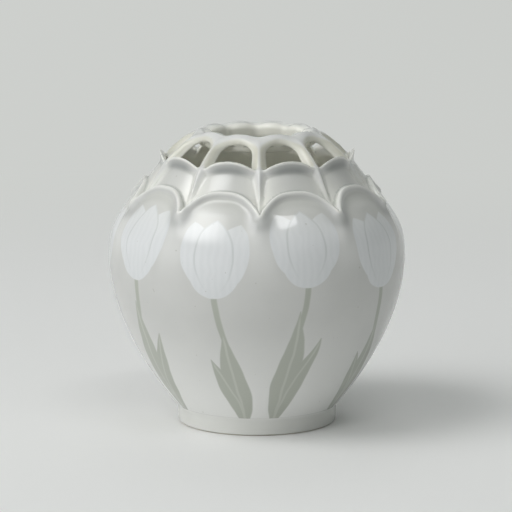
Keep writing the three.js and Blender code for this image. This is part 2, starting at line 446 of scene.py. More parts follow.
    def scale(self, share: Array, length: Array, depth: Array) -> Array:
        """Return the distance from the flared scales behind the lips.

        Args:
            share: shares of a petal's half angle.
            length: lengths along the outline from the foot.
            depth: distances out from the outline.

        Returns:
            The distances, under 0 inside.
        """
        across = np.minimum(np.abs(share) / self.corner_share, 1.0)
        root = self.lip_length(self.corner_share * across)
        top = mix(self.scale_top_length, self.scale_side_length, across**2)
        up = (length - root) / (top - root)
        curl = np.clip((length - top) / self.curl_reach + 1.0, 0.0, self.curl_limit)
        curl = curl**self.curl_tightness
        straight = self.flare_straight_share * up
        curled = 1.0 - self.flare_straight_share
        sink = mix(self.scale_root_sink, self.scale_side_sink, across**2)
        middle_rise = self.scale_flare + self.scale_root_sink
        rise = mix(middle_rise, self.scale_lip_rise + self.scale_side_sink, across**2)
        face = rise * (straight + curled * curl) - sink
        low, high = self.scale_root_thickness, self.scale_lip_thickness
        thickness = mix(low, high, np.clip(up, 0.0, 1.0))
        back = rise * (straight + curled * self.curl_back_share * curl) - sink - thickness
        plate = round_max(depth - face, back - depth, self.rounds.scale_lip)
        plate = round_max(plate, length - top, self.rounds.scale_lip)
        return round_max(plate, root - self.scale_tuck - length, self.rounds.crease)

    def window(self, share: Array, length: Array, depth: Array) -> Array:
        """Return the distance from the window between two ribs, splayed towards the inside.

        Args:
            share: shares of a petal's half angle.
            length: lengths along the outline from the foot.
            depth: distances out from the outline.

        Returns:
            The distances, under 0 inside.
        """
        risen = ease(self.corner_length, self.scale_side_length, length)
        outer = mix(self.corner_share, self.window_share, risen)
        narrowing = self.window_inner_share / self.window_share
        half_share = outer * mix(1.0, narrowing, self.inward(depth))
        half_width = self.half_width(length)
        above = length - (self.window_top_length - self.window_arch_rise)
        arched = oval(share * half_width, above, half_share * half_width, self.window_arch_rise)
        straight = (np.abs(share) - half_share) * half_width
        return np.where(above > 0.0, arched, straight)

    def shell(self, share: Array, length: Array, depth: Array) -> Array:
        """Return the distance from the ribs and the arches that join them.

        Args:
            share: shares of a petal's half angle.
            length: lengths along the outline from the foot.
            depth: distances out from the outline.

        Returns:
            The distances, under 0 inside.
        """
        along = (length - self.cusp_length) / (self.springer_length - self.cusp_length)
        keel = mix(self.rib_keel, self.rib_round, np.clip(along, 0.0, 1.0))
        crest = mix(self.rib_crest, self.rib_top_crest, ease(*self.crest_span, along))
        emerged = (length - self.cusp_length - self.rib_tip_rise) / self.rib_tip_run
        emerged = np.clip(emerged, 0.0, 1.0) ** self.rib_tip_bluntness
        crest = crest - self.rib_tip_sink * (1.0 - emerged)
        fall = mix(self.rib_root_fall, self.rib_top_fall, ease(*self.fall_span, along))
        fall = fall * (1.0 - ease(*self.flat_span, along))
        face = crest - fall * (np.hypot(self.from_rib(share, length), keel) - keel)
        valley = toward_rib(share, self.valley_sharpness)
        face = face - self.lobe_groove * valley * ease(*self.groove_span, along)
        rounding = mix(self.rounds.window, self.rounds.arch, ease(*self.arch_span, along))
        plate = round_max(depth - face, -depth - self.crown_wall, self.rounds.window)
        plate = round_max(plate, -self.window(share, length, depth), rounding)
        plate = round_max(plate, length - self.outline.length, self.rounds.window)
        return round_max(plate, self.cusp_length - self.rib_tuck - length, self.rounds.crease)

    def tube(self, share: Array, length: Array, depth: Array) -> Array:
        """Return the distance from the lobed tube round the mouth, which drops straight inside.

        Args:
            share: shares of a petal's half angle.
            length: lengths along the outline from the foot.
            depth: distances out from the outline.

        Returns:
            The distances, under 0 inside.
        """
        valley = toward_rib(share, self.valley_sharpness)
        radius, height = self.outline.place(length, depth)
        half_height = self.tube_half_height - self.rim_dip * valley / 2
        half_width = self.tube_half_width - self.tube_groove * valley
        above = height - (self.height - self.rim_dip * valley - half_height)
        above = np.where(above < 0.0, np.minimum(above + self.tube_drop, 0.0), above)
        return oval(radius - self.tube_radius, above, half_width, half_height)

    def collar(self, share: Array, length: Array, depth: Array) -> Array:
        """Return the distance from the ribs, the arches and the tube together."""
        shell = self.shell(share, length, depth)
        return round_min(shell, self.tube(share, length, depth), self.rounds.rim)

    def parts(self, share: Array, length: Array, depth: Array) -> Array:
        """Return the distance from each kind of clay part.

        Args:
            share: shares of a petal's half angle, from -1 at one rib to 1 at the next.
            length: lengths along the outline from the foot.
            depth: distances out from the outline.

        Returns:
            The distances in the order of Clay after air, with the ribs ending at the collar.
        """
        collar = self.collar(share, length, depth)
        cut = length - self.springer_length
        scale = self.scale(share, length, depth)
        beside = (np.abs(share) - self.corner_share) * self.half_width(length)
        belly = self.belly(share, length, depth)
        rib = np.minimum(np.maximum(collar, cut), np.maximum(scale, -beside))
        return np.stack([belly, np.maximum(collar, -cut), rib, np.maximum(scale, beside)])

    def distance(self, share: Array, length: Array, depth: Array) -> Array:
        """Return the distance from the whole skin, with glaze in its corners.

        Args:
            share: shares of a petal's half angle.
            length: lengths along the outline from the foot.
            depth: distances out from the outline.

        Returns:
            The distances, under 0 inside.
        """
        collar = self.collar(share, length, depth)
        crown = round_min(collar, self.scale(share, length, depth), self.rounds.rib_root)
        return round_min(crown, self.belly(share, length, depth), self.rounds.crease)

    def marks(self, share: Array, length: Array, depth: Array) -> dict[str, Array]:
        """Say where the skin's colour changes: its glaze, and its painted light and shade.

        Args:
            share: shares of a petal's half angle.
            length: lengths along the outline from the foot.
            depth: distances out from the outline.

        Returns:
            Masks from 0 to 1: deep inside, painted paler; on a free lip, a painted highlight; in the
            shade below one, painted shade; and on a window's reveal, painted shade.
        """
        kind = np.abs(self.parts(share, length, depth)).argmin(0) + 1
        petal, scale = kind == Clay.BELLY, kind == Clay.SCALE
        across = np.minimum(np.abs(share) / self.corner_share, 1.0)
        below_top = mix(self.scale_top_length, self.scale_side_length, across**2) - length
        below_lip = self.inside_lip(share, length)
        bands = [below_lip / self.petal_band, below_top / self.scale_band]
        lip = np.select([petal, scale], bands, 1.0)
        petal_shade = self.petal_shade * bell(below_lip, *self.petal_shade_place)
        scale_shade = bell(below_top, *self.scale_shade_place)
        scale_shade *= 1.0 - self.scale_shade_fade * ease(*self.scale_shade_sides, across)
        reveal = 1.0 - np.clip(self.window(share, length, depth) / self.reveal_reach, 0.0, 1.0)
        above_scale = ease(*self.reveal_start, length - self.scale_side_length)
        return {
            "deep": self.inward(depth),
            "lip": 1.0 - np.clip(lip, 0.0, 1.0),
            "shade": np.select([petal, scale], [petal_shade, scale_shade], 0.0),
            "reveal": np.where(petal | scale, 0.0, reveal * above_scale),
        }


@dataclass
class Surface:
    """Vertices and faces of the whole skin, with the clay part on each side of every face."""

    points: Array
    faces: Array
    inside: Array
    outside: Array
    normals: Array
    bulge: Array
    marks: dict[str, Array]


@dataclass
class Mesher:
    """Meshes the skin on a grid that follows the outline, finer towards the ribs and the crown.

    A grid edge whose two ends hold different clay parts is crossed by the surface or by a seam.
    Each cell beside such an edge gets one point, and each such edge gets one face that joins the
    points of its four cells.
    """

    skin: Skin
    columns: int = 50
    rib_crowding: float = 0.5
    coarse_row: float = 3.2 * MM
    fine_row: float = 0.55 * MM
    fine_row_lead: float = 4 * MM
    foot_row: float = 0.9 * MM
    foot_rows: float = 12 * MM
    layer: float = 0.5 * MM
    deepest: float = -11.4 * MM
    highest: float = 5.8 * MM
    margin: float = 1.2 * MM
    mouth_margin: float = 5 * MM
    edge_margin: float = 0.02
    settle_steps: int = 4
    settle_probe: float = 0.05 * MM
    settle_limit: float = 0.3 * MM
    least_radius: float = 20 * MM
    least_steepness: float = 0.25
    shortest_edge: float = 0.2 * MM
    bulge_passes: int = 2

    FIRST_RIB = 3
    AROUND_EDGE = (
        ((0, -1, -1), (0, 0, -1), (0, 0, 0), (0, -1, 0)),
        ((0, 0, -1), (-1, 0, -1), (-1, 0, 0), (0, 0, 0)),
        ((-1, -1, 0), (0, -1, 0), (0, 0, 0), (-1, 0, 0)),
    )

    def rows(self) -> Array:
        """Return the lengths along the outline at which the grid's rows lie.

        Returns:
            The lengths, from below the foot to past the mouth.
        """
        skin = self.skin
        start = skin.outline.length_at_height(skin.belly_height)
        lengths = [-self.margin]
        while lengths[-1] < skin.outline.length + self.mouth_margin:
            fine = float(ease(start, skin.cusp_length - self.fine_row_lead, lengths[-1]))
            risen = float(ease(0.0, self.foot_rows, lengths[-1]))
            row = mix(mix(self.foot_row, self.coarse_row, risen), self.fine_row, fine)
            lengths.append(lengths[-1] + row)
        return np.array(lengths)

    def shares(self) -> Array:
        """Return the shares of a petal at which the grid's columns lie."""
        even = np.linspace(-1.0, 1.0, self.columns + 1)
        return mix(even, np.sin(even * math.pi / 2), self.rib_crowding)

    def labels(self, sector: int, kinds: Array) -> Array:
        """Number the clay parts of one petal: 1 belly, 2 collar, then the ribs and the scales.

        Args:
            sector: the petal's number.
            kinds: the kind of part at its grid corners.

        Returns:
            The clay parts' numbers there.
        """
        petals = self.skin.petals
        column = np.arange(kinds.shape[0])[:, None, None]
        rib = (sector + (column > self.columns // 2)) % petals
        numbers = np.where(kinds == Clay.RIB, self.FIRST_RIB + rib, kinds)
        return np.where(kinds == Clay.SCALE, self.FIRST_RIB + petals + sector, numbers)

    @staticmethod
    def ends(axis: int) -> tuple[tuple[slice, ...], tuple[slice, ...]]:
        """Return what picks the near and the far ends of the grid edges along an axis.

        Args:
            axis: the axis.

        Returns:
            What picks the near ends, and what picks the far ones.
        """
        low, high = [slice(None)] * 3, [slice(None)] * 3
        low[axis], high[axis] = slice(None, -1), slice(1, None)
        return tuple(low), tuple(high)

    @staticmethod
    def lead(stack: Array, end: tuple[slice, ...], kinds: tuple[Array, Array]) -> Array:
        """Return how much further off the first of two kinds is than the second, at an end.

        Args:
            stack: the distance of each kind of part at the grid's corners.
            end: what picks that end of the edges.
            kinds: the kinds at the edges' near and far ends.

        Returns:
            The differences in distance.
        """
        here = stack[(slice(None), *end)]
        ranks = [np.maximum(kind, 1) - 1 for kind in kinds]
        first, second = (np.take_along_axis(here, rank[None], 0)[0] for rank in ranks)
        return first - second

    def settle(self, spots: Array) -> Array:
        """Move points in the skin's own coordinates onto its surface, along the steepest way.

        Args:
            spots: the points.

        Returns:
            The moved points.
        """
        skin, probe = self.skin, self.settle_probe
        for _ in range(self.settle_steps):
            share, length, depth = spots.T
            width = skin.half_sector * np.maximum(skin.outline.radius(length), self.least_radius)
            here = skin.distance(share, length, depth)
            moved = [
                skin.distance(share + probe / width, length, depth),
                skin.distance(share, length + probe, depth),
                skin.distance(share, length, depth + probe),
            ]
            slopes = (np.stack(moved, axis=1) - here[:, None]) / probe
            steep = np.maximum((slopes**2).sum(1), self.least_steepness)
            step = np.clip(here / steep, -self.settle_limit, self.settle_limit)
            move = slopes * step[:, None]
            move[:, 0] /= width
            spots = spots - move
        return spots

    def build(self) -> Surface:
        """Mesh one petal, turn it round the axis and join the copies.

        Returns:
            The whole skin.
        """
        axes = [self.shares(), self.rows(), np.arange(self.deepest, self.highest, self.layer)]
        grid = np.meshgrid(*axes, indexing="ij")
        stack = self.skin.parts(*grid)
        solid = self.skin.distance(*grid)
        kinds = np.where(solid < 0.0, stack.argmin(0) + 1, Clay.AIR)
        spots, used, exposed = self.cell_points(axes, solid, stack, kinds)
        settled = spots.copy()
        settled[exposed] = self.settle(spots[exposed])
        return self.joined(kinds, settled, used)

    def cell_points(
        self, axes: list[Array], solid: Array, stack: Array, kinds: Array
    ) -> tuple[Array, Array, Array]:
        """Place a point in each cell of the grid that a surface or seam passes.

        Args:
            axes: the grid's shares, lengths and depths.
            solid: the skin's distance at the grid's corners.
            stack: the distance of each kind of part there.
            kinds: the kind of part there.

        Returns:
            The points, the cells that hold them, and which of them lie on the surface.
        """
        cells = tuple(n - 1 for n in kinds.shape)
        total = np.zeros((*cells, 3))
        count = np.zeros(cells)
        numbers = [np.arange(n, dtype=float) for n in kinds.shape]
        index = np.stack(np.meshgrid(*numbers, indexing="ij"), axis=-1)
        for axis in range(3):
            low, high = self.ends(axis)
            pair = kinds[low], kinds[high]
            crossed = pair[0] != pair[1]
            open_air = (pair[0] == Clay.AIR) | (pair[1] == Clay.AIR)
            a = np.where(open_air, solid[low], self.lead(stack, low, pair))
            b = np.where(open_air, solid[high], self.lead(stack, high, pair))
            gap = np.where(np.abs(a - b) < TINY, TINY, a - b)
            where = index[low].copy()
            where[..., axis] += np.clip(a / gap, self.edge_margin, 1.0 - self.edge_margin)
            others = [other for other in range(3) if other != axis]
            for shifts in product((0, 1), repeat=2):
                beside = [slice(None)] * 3
                for other, shift in zip(others, shifts):
                    beside[other] = slice(shift, shift + cells[other])
                weight = crossed[tuple(beside)]
                total += where[tuple(beside)] * weight[..., None]
                count += weight
        used = count > 0
        mean = total[used] / count[used][:, None]
        spots = [np.interp(m, np.arange(len(axis)), axis) for m, axis in zip(mean.T, axes)]
        air = np.zeros(cells, bool)
        for shifts in product((0, 1), repeat=3):
            corner = tuple(slice(shift, shift + size) for shift, size in zip(shifts, cells))
            air |= kinds[corner] == Clay.AIR
        return np.stack(spots, axis=1), used, air[used]

    def joined(self, kinds: Array, spots: Array, used: Array) -> Surface:
        """Turn one petal's points round the axis and join them with faces.

        Args:
            kinds: the kind of part at the petal's grid corners.
            spots: the petal's points in the skin's coordinates.
            used: the cells that hold them.

        Returns:
            The whole skin.
        """
        skin = self.skin
        sectors = range(skin.petals)
        radius, height = skin.outline.place(spots[:, 1], spots[:, 2])
        middles = (np.arange(skin.petals) * 2 + 1)[:, None] * skin.half_sector
        turns = middles + spots[:, 0] * skin.half_sector
        height = np.broadcast_to(height, turns.shape)
        points = np.stack([radius * np.sin(turns), -radius * np.cos(turns), height], axis=-1)
        points = points.reshape(-1, 3)
        number = np.full(used.shape, -1)
        number[used] = np.arange(len(spots))
        cells = [np.where(number >= 0, number + s * len(spots), -1) for s in sectors]
        labels = [self.labels(s, kinds)[: self.columns] for s in sectors]
        faces, inside, outside = self.quads(np.concatenate(labels), np.concatenate(cells))
        normals, bulge = self.shading(points, faces, inside, outside)
        marks = {name: np.tile(mark, skin.petals) for name, mark in skin.marks(*spots.T).items()}
        return Surface(points, faces, inside, outside, normals, bulge, marks)

    def quads(self, labels: Array, cells: Array) -> tuple[Array, Array, Array]:
        """Lay a face across each grid edge whose ends differ.

        Args:
            labels: the clay parts' numbers at the grid's corners, all the way round.
            cells: the number of each cell's point.

        Returns:
            The faces, and the labels behind and before them.
        """
        faces, inside, outside = [], [], []
        closed = np.concatenate([labels, labels[:1]])
        for axis, around in enumerate(self.AROUND_EDGE):
            low, high = self.ends(axis)
            grid = labels if axis else closed
            behind, before = grid[low], grid[high]
            i, j, k = np.argwhere(behind != before).T
            corners = [cells[(i + a) % len(cells), j + b, k + c] for a, b, c in around]
            faces.append(np.stack(corners, axis=1))
            inside.append(behind[i, j, k])
            outside.append(before[i, j, k])
        return np.concatenate(faces), np.concatenate(inside), np.concatenate(outside)

    def shading(
        self, points: Array, faces: Array, inside: Array, outside: Array
    ) -> tuple[Array, Array]:
        """Return a smooth normal for each point of the surface, and how far it bulges there.

        Args:
            points: the skin's points.
            faces: its faces.
            inside: the label behind each face.
            outside: the label before it.

        Returns:
            Normals, and a bulge that is over 0 on edges and under 0 in creases.
        """
        air = (inside == Clay.AIR) | (outside == Clay.AIR)
        corners = faces[air].T
        a, b, c, d = (points[corner] for corner in corners)
        normal = np.cross(c - a, d - b)
        normal[inside[air] == Clay.AIR] *= -1
        total = np.zeros_like(points)
        for corner in corners:
            np.add.at(total, corner, normal)
        normals = total / np.maximum(np.linalg.norm(total, axis=1), TINY)[:, None]
        edges = list(zip(corners, np.roll(corners, -1, axis=0)))
        bulge = np.zeros(len(points))
        count = np.zeros(len(points))
        for start, end in edges:
            way = points[end] - points[start]
            span = np.maximum((way**2).sum(1), self.shortest_edge**2)
            np.add.at(bulge, start, -(normals[start] * way).sum(1) / span)
            np.add.at(bulge, end, (normals[end] * way).sum(1) / span)
            np.add.at(count, start, 1)
            np.add.at(count, end, 1)
        bulge /= np.maximum(count, 1)
        for _ in range(self.bulge_passes):
            total = bulge.copy()
            count = np.ones(len(points))
            for start, end in edges:
                np.add.at(total, start, bulge[end])
                np.add.at(count, start, 1)
            bulge = total / count
        return normals, bulge


class Maker:
    """Turns points and faces into Blender pieces that ride on the frame."""

    @staticmethod
    def link(name: str, data: bpy.types.ID) -> bpy.types.Object:
        """Return a new object that holds some data, linked to the scene.

        Args:
            name: the object's name.
            data: what it holds.

        Returns:
            The object.
        """
        made = bpy.data.objects.new(name, data)
        bpy.context.scene.collection.objects.link(made)
        return made

    @classmethod
    def piece(cls, name: str, points: Array, faces: Array) -> bpy.types.Object:
        """Make a mesh piece.

        Args:
            name: the piece's name.
            points: its points in metres.
            faces: four point numbers a face.

        Returns:
            The piece, linked to the scene.
        """
        mesh = bpy.data.meshes.new(name)
        mesh.from_pydata(points.tolist(), [], faces.tolist())
        mesh.update()
        mesh.shade_smooth()
        return cls.link(name, mesh)

    @staticmethod
    def attribute(made: bpy.types.Object, name: str, values: Array) -> None:
        """Keep a value for each point of a piece, for its material to read."""
        layer = made.data.attributes.new(name, "FLOAT", "POINT")
        layer.data.foreach_set("value", values.astype(np.float32))

    @classmethod
    def from_surface(cls, surface: Surface, label: int, name: str) -> bpy.types.Object:
        """Cut one clay part out of the skin as a closed piece.

        Args:
            surface: the whole skin.
            label: the part's number.
            name: the piece's name.

        Returns:
            The piece, with the skin's own normals where it shows.
        """
        mine = (surface.inside == label) | (surface.outside == label)
        faces = surface.faces[mine]
        turn = surface.outside[mine] == label
        faces[turn] = faces[turn][:, ::-1]
        hidden = (surface.inside[mine] != Clay.AIR) & (surface.outside[mine] != Clay.AIR)
        kept, remapped = np.unique(faces, return_inverse=True)
        made = cls.piece(name, surface.points[kept], remapped.reshape(-1, 4))
        mesh = made.data
        corners = np.empty(len(mesh.loops), np.int64)
        mesh.loops.foreach_get("vertex_index", corners)
        flat = np.empty(len(mesh.polygons) * 3, np.float32)
        mesh.polygons.foreach_get("normal", flat)
        normals = surface.normals[kept][corners]
        capped = np.repeat(hidden, 4)
        normals[capped] = np.repeat(flat.reshape(-1, 3), 4, axis=0)[capped]
        mesh.normals_split_custom_set(normals.astype(np.float32))
        cls.attribute(made, "bulge", surface.bulge[kept] * MM)
        for mark, values in surface.marks.items():
            cls.attribute(made, mark, values[kept])
        return made


@dataclass(frozen=True)
class Wire:
    """A number that runs through a node tree, which plain sums can be written with."""

    socket: bpy.types.NodeSocket

    @staticmethod
    def plug(socket: bpy.types.NodeSocket, value: "Wire | float | Colour") -> None:
        """Link a wire to a socket, or set the socket to a constant.

        Args:
            socket: the socket.
            value: the wire or the constant.
        """
        if isinstance(value, Wire):
            socket.id_data.links.new(value.socket, socket)
        elif isinstance(value, tuple):
            socket.default_value = (*value, 1.0)
        else:
            socket.default_value = value

    @staticmethod
    def split(tree: bpy.types.NodeTree, kind: str, output: str) -> "list[Wire]":
        """Return the three parts of a place.

        Args:
            tree: the node tree that works with it.
            kind: the kind of node that tells the place.
            output: the node's output that is used.

        Returns:
            The parts along X, Y and Z.
        """
        spot = tree.nodes.new(kind)
        parts = tree.nodes.new("ShaderNodeSeparateXYZ")
        tree.links.new(spot.outputs[output], parts.inputs[0])
        return [Wire(socket) for socket in parts.outputs]

    @staticmethod
    def sum(tree: bpy.types.NodeTree, operation: str, *values: "Wire | float") -> "Wire":
        """Return a sum of up to three numbers.

        Args:
            tree: the node tree that works it out.
            operation: what is done with them.
            values: the numbers.

        Returns:
            Its result.
        """
        node = tree.nodes.new("ShaderNodeMath")
        node.operation = operation
        for socket, value in zip(node.inputs, values):
            Wire.plug(socket, value)
        return Wire(node.outputs[0])

    def math(self, operation: str, *others: "Wire | float") -> "Wire":
        """Return a sum that starts with this number."""
        return Wire.sum(self.socket.id_data, operation, self, *others)

    def __add__(self, other: "Wire | float") -> "Wire":
        """Return this number and another together."""
        return self.math("ADD", other)

    def __sub__(self, other: "Wire | float") -> "Wire":
        """Return this number less another."""
        return self.math("SUBTRACT", other)

    def __rsub__(self, other: float) -> "Wire":
        """Return a number less this one."""
        return Wire.sum(self.socket.id_data, "SUBTRACT", other, self)

    def __mul__(self, other: "Wire | float") -> "Wire":
        """Return this number times another."""
        return self.math("MULTIPLY", other)

    def __truediv__(self, other: "Wire | float") -> "Wire":
        """Return this number divided by another."""
        return self.math("DIVIDE", other)

    def __neg__(self) -> "Wire":
        """Return this number with its sign changed."""
        return self.math("MULTIPLY", -1.0)

    def __abs__(self) -> "Wire":
        """Return this number without its sign."""
        return self.math("ABSOLUTE")

    def least(self, other: "Wire | float") -> "Wire":
        """Return the smaller of two numbers."""
        return self.math("MINIMUM", other)

    def most(self, other: "Wire | float") -> "Wire":
        """Return the larger of two numbers."""
        return self.math("MAXIMUM", other)

    def hypot(self, other: "Wire") -> "Wire":
        """Return the length of the slope over two sides."""
        return (self * self + other * other).math("SQRT")

    def ease(self, low: "Wire | float", high: "Wire | float") -> "Wire":
        """Return 0 at low, 1 at high, and a smooth step between them.

        Args:
            low: where the step starts.
            high: where it ends.

        Returns:
            The step.
        """
        node = self.socket.id_data.nodes.new("ShaderNodeMapRange")
        node.interpolation_type = "SMOOTHSTEP"
        for socket, value in zip(node.inputs, (self, low, high)):
            Wire.plug(socket, value)
        return Wire(node.outputs[0])

    def over(self, below: "Wire | Colour", colour: "Wire | Colour") -> "Wire":
        """Lay a colour over another, as thick as this number says.

        Args:
            below: the colour that is covered.
            colour: the colour on top.

        Returns:
            The colour that shows.
        """
        node = self.socket.id_data.nodes.new("ShaderNodeMix")
        node.data_type = "RGBA"
        sockets = [socket for socket in node.inputs if socket.enabled]
        for socket, value in zip(sockets, (self, below, colour)):
            Wire.plug(socket, value)
        return Wire(next(socket for socket in node.outputs if socket.enabled))


class Effect:
    """A shader node group that several finishes use."""

    def __init__(self, name: str, inputs: dict[str, float], outputs: list[str]) -> None:
        """Open the group.

        Args:
            name: its name.
            inputs: its numbers, with the value that each starts from.
            outputs: the names of what it puts out.
        """
        self.tree = bpy.data.node_groups.new(name, "ShaderNodeTree")
        ports = {"INPUT": inputs, "OUTPUT": dict.fromkeys(outputs, 0.0)}
        for way, values in ports.items():
            for label, value in values.items():
                socket = self.tree.interface.new_socket(
                    name=label, in_out=way, socket_type="NodeSocketFloat"
                )
                socket.default_value = value
        self.inputs = self.tree.nodes.new("NodeGroupInput")
        self.outputs = self.tree.nodes.new("NodeGroupOutput")

    def given(self, label: str) -> Wire:
        """Return one of the numbers that the group is given."""
        return Wire(self.inputs.outputs[label])

    def give(self, label: str, value: Wire) -> None:
        """Put a number out."""
        Wire.plug(self.outputs.inputs[label], value)

    def place(self) -> list[Wire]:
        """Return the place on the piece, in millimetres."""
        return [part / MM for part in Wire.split(self.tree, "ShaderNodeTexCoord", "Object")]

    def noise(self, size: Wire | float, detail: float = 1.0, seed: float = 0.0) -> Wire:
        """Return a cloudy number from 0 to 1.

        Args:
            size: how large its clouds are, in millimetres.
            detail: how many finer layers it has.
            seed: which of its patterns is taken.

        Returns:
            The number.
        """
        spot = self.tree.nodes.new("ShaderNodeTexCoord")
        cloud = self.tree.nodes.new("ShaderNodeTexNoise")
        cloud.noise_dimensions = "4D"
        self.tree.links.new(spot.outputs["Object"], cloud.inputs["Vector"])
        Wire.plug(cloud.inputs["Scale"], Wire.sum(self.tree, "DIVIDE", 1.0 / MM, size))
        cloud.inputs["W"].default_value = seed
        cloud.inputs["Detail"].default_value = detail
        return Wire(cloud.outputs["Fac"])

    def attribute(self, name: str) -> Wire:
        """Return a number that the pieces keep for each of their points.

        Args:
            name: what the pieces call it.

        Returns:
            The number.
        """
        node = self.tree.nodes.new("ShaderNodeAttribute")
        node.attribute_name = name
        return Wire(node.outputs["Fac"])


@dataclass(frozen=True)
class Spot:
    """A place on the wall as the decor counts it, in millimetres and radians.

    The girth is its distance from the axis, the rise its height on the wall from the widest place.
    Apart is its angle from the middle of a plant, and side says on which side of that it lies.
    """

    girth: Wire
    rise: Wire
    apart: Wire
    side: Wire


@dataclass(frozen=True)
class Blade:
    """A long leaf: the height of its tip, half its width, its angle aside and its rib's width."""

    tip: float
    width: float
    apart: float
    rib_width: float


@dataclass(frozen=True)
class Decor:
    """Plants painted under the glaze, each with two stems, cupped blossoms and long blades."""

    skin: Skin
    plants: int = 5
    shiver_size: float = 16.0
    unevenness: float = 2.4
    root_apart: float = math.radians(10)
    stem_width: float = 1.5
    stem_rise: Pair = (-72.0, -4.0)
    fork_apart: float = math.radians(18)
    blossom_rise: float = 12.5
    blossom_step: float = 2.5
    petal_width: float = 10.0
    petal_length: float = 19.5
    side_petal_share: float = 0.92
    side_petal_offset: float = 7.6
    side_petal_tilt: float = math.radians(13)
    cup_width: float = 13.0
    cup_drop: float = 7.0
    tall_blade: Blade = Blade(tip=-22.0, width=6.4, apart=math.radians(15.5), rib_width=0.9)
    low_blade: Blade = Blade(tip=-38.0, width=5.6, apart=math.radians(27), rib_width=0.8)
    blade_root: float = -86.0
    blade_step: float = 6.0
    blade_fullness: float = 0.8
    blade_end: Pair = (0.99, 1.0)
    rib_core: float = 0.3
    rib_inset: float = 1.5
    brush_blur: float = 0.45
    line_edge: Pair = (0.75, 0.2)
    wall_edge: Pair = (0.4, 0.2)
    streak_pitch: float = 1.7
    streak_size: float = 6.0
    streak_bend: float = 9.0
    streak_strength: float = 0.3
    base_start: float = -4.0
    base_strength: float = 0.6

    @staticmethod
    def lens(across: Wire, along: Wire, width: float, length: float) -> Wire:
        """Return the distance from a lens that is pointed at both ends.

        Args:
            across: the place across it.
            along: the place along it.
            width: half its width.
            length: half its length.

        Returns:
            The distance, under 0 inside.
        """
        bend = (width**2 + length**2) / (2 * width)
        return (abs(across) + (bend - width)).hypot(along) - bend

    def spot(self, effect: Effect) -> Spot:
        """Return the place on the wall, made a little uneven as by a hand.

        Args:
            effect: the group that works it out.

        Returns:
            The place.
        """
        x, y, z = effect.place()
        girth = x.hypot(y)
        aside, upwards = (
            (effect.noise(self.shiver_size, seed=seed) - 0.5) * self.unevenness
            for seed in (3.0, 9.0)
        )
        tilt = (z - self.skin.belly_height / MM).math("ARCTAN2", girth)
        angle = x.math("ARCTAN2", -y)
        sector = 2 * math.pi / self.plants
        plant = (angle / sector + 0.5).math("FLOOR")
        turn = angle - plant * sector + aside / girth
        rise = tilt * (self.skin.belly_radius / MM) + upwards
        return Spot(girth, rise, abs(turn), turn.math("SIGN"))

    def beside(self, spot: Spot, low: float, high: float, apart: float) -> Wire:
        """Return the way across from a line that leans out of the plant's root.

        Args:
            spot: the place on the wall.
            low: the height at which the line starts to lean.
            high: the height at which it stands upright again.
            apart: its angle from the middle of the plant there.

        Returns:
            The way across, under 0 on the plant's side.
        """
        leant = spot.rise.ease(low, high) * (apart - self.root_apart) + self.root_apart
        return (spot.apart - leant) * spot.girth

    def leaf(self, blade: Blade, spot: Spot) -> tuple[Wire, Wire]:
        """Paint a long leaf that narrows to its tip.

        Args:
            blade: its shape.
            spot: the place on the wall.

        Returns:
            The distance from it, under 0 inside, and a mask for its rib.
        """
        across = self.beside(spot, self.blade_root, self.tall_blade.tip, blade.apart)
        tip = spot.side * self.blade_step + blade.tip
        share = ((spot.rise - self.blade_root) / (tip - self.blade_root)).most(0.0).least(1.0)
        swell = (share.math("POWER", self.blade_fullness) * math.pi).math("SINE")
        shape = abs(across) - swell * blade.width + share.ease(*self.blade_end) * blade.width
        rib = abs(across).ease(blade.rib_width, self.rib_core) * shape.ease(0.0, -self.rib_inset)
        return shape, rib

    def make(self) -> Effect:
        """Build the decor.

        Returns:
            The effect, with masks for the blossoms, the lines and streaks in them, the leaves and
            the leaves' ribs.
        """
        effect = Effect("decor", {}, ["Blossom", "Line", "Leaf", "Vein", "Streak"])
        spot = self.spot(effect)
        stem = abs(self.beside(spot, *self.stem_rise, self.fork_apart)) - self.stem_width
        stem = stem.most(spot.rise - self.blossom_rise)
        tall_leaf, tall_rib = self.leaf(self.tall_blade, spot)
        low_leaf, low_rib = self.leaf(self.low_blade, spot)
        leaf = tall_leaf.least(low_leaf).least(stem)

        across = (spot.apart - self.fork_apart) * spot.girth
        along = spot.rise - self.blossom_rise - spot.side * self.blossom_step
        middle = self.lens(across, along, self.petal_width, self.petal_length)
        folded = abs(across) - self.side_petal_offset
        tilt_cos, tilt_sin = math.cos(self.side_petal_tilt), math.sin(self.side_petal_tilt)
        leaning = self.lens(
            folded * tilt_cos - along * tilt_sin,
            folded * tilt_sin + along * tilt_cos,
            self.petal_width,
            self.petal_length * self.side_petal_share,
        )
        cup = across.hypot(along + self.cup_drop) - self.cup_width
        blossom = middle.least(leaning).least(cup)

        blur = self.brush_blur
        wall = effect.attribute("deep").ease(*self.wall_edge)
        petals = blossom.ease(blur, -blur) * wall
        leaves = leaf.ease(blur, -blur) * wall * (1.0 - petals)
        drawn = abs(middle).ease(*self.line_edge) * along.ease(-self.petal_length, 0.0)
        bent = effect.noise(self.streak_size, detail=2.0, seed=8.0) * self.streak_bend
        streak = (across * self.streak_pitch + bent).math("SINE") * 0.5 + 0.5
        base = (-along).ease(self.base_start, self.petal_length)
        streak = streak * self.streak_strength + base * self.base_strength
        effect.give("Blossom", petals)
        effect.give("Line", drawn * petals)
        effect.give("Leaf", leaves)
        effect.give("Vein", tall_rib.most(low_rib) * leaves)
        effect.give("Streak", streak * petals)
        return effect


